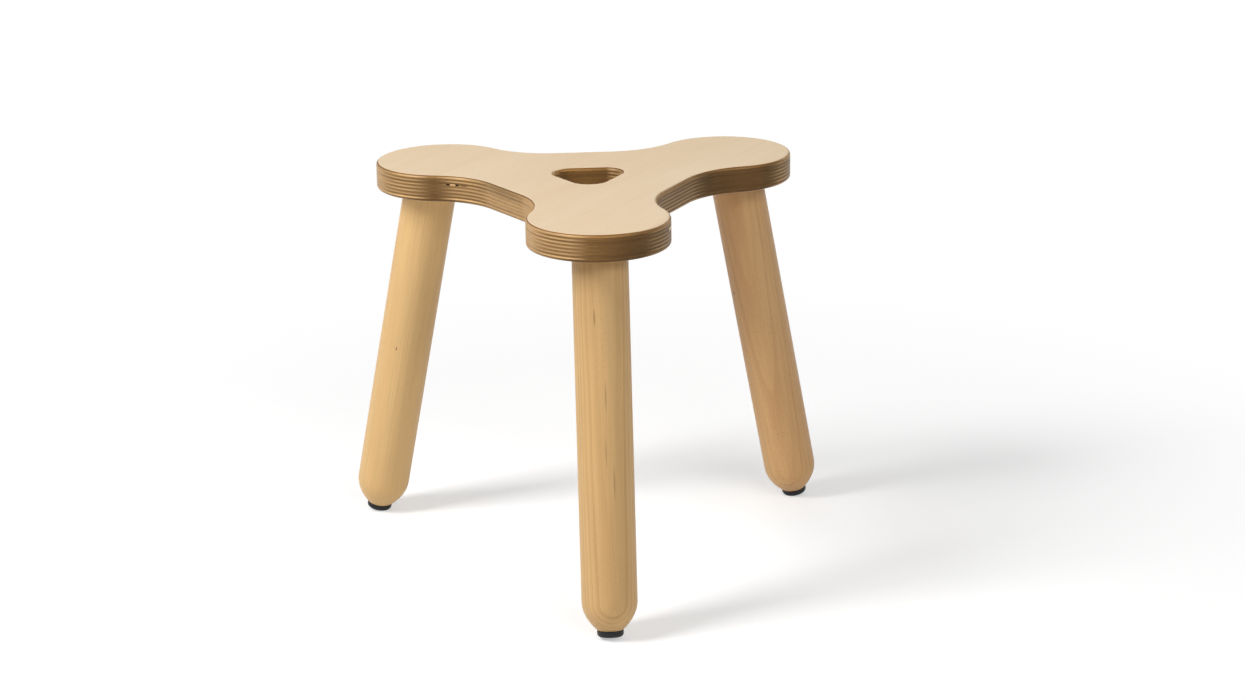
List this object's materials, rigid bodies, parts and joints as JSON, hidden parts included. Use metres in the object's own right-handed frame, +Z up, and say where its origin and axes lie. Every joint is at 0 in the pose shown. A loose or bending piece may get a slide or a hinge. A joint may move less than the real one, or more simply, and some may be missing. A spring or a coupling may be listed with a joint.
{
  "type": "stacking stool",
  "caption": "Low stacking stool: a lobed birch plywood seat with a hand hole in the middle, on splayed round beech legs with plastic glides.",
  "frame": {"origin": "on the floor, under the middle of the box that the stool fills; the stool's own axis, through the middle of the seat, stands 48.9 mm from it along +Y", "axes": "+Z up; the front lobe and its leg point along -Y, and the other two lobes lie at 30 and 150 degrees from +X about the stool's axis"},
  "size_m": [0.3808, 0.3354, 0.306],
  "materials": {
    "birch_plywood": "clear satin lacquer on birch plywood, its veneers showing at the edges",
    "beech": "clear satin lacquer on turned beech",
    "plated_steel": "zinc plated",
    "glide_plastic": "black moulded plastic, satin"
  },
  "bodies": {
    "root": {"seat": "birch_plywood", "leg_front": "beech", "leg_right": "beech", "leg_left": "beech", "threaded_insert_front": "plated_steel", "threaded_insert_right": "plated_steel", "threaded_insert_left": "plated_steel", "hanger_bolt_front": "plated_steel", "hanger_bolt_right": "plated_steel", "hanger_bolt_left": "plated_steel", "glide_front": "glide_plastic", "glide_right": "glide_plastic", "glide_left": "glide_plastic", "glide_nail_front": "plated_steel", "glide_nail_right": "plated_steel", "glide_nail_left": "plated_steel"}
  },
  "joints": []
}
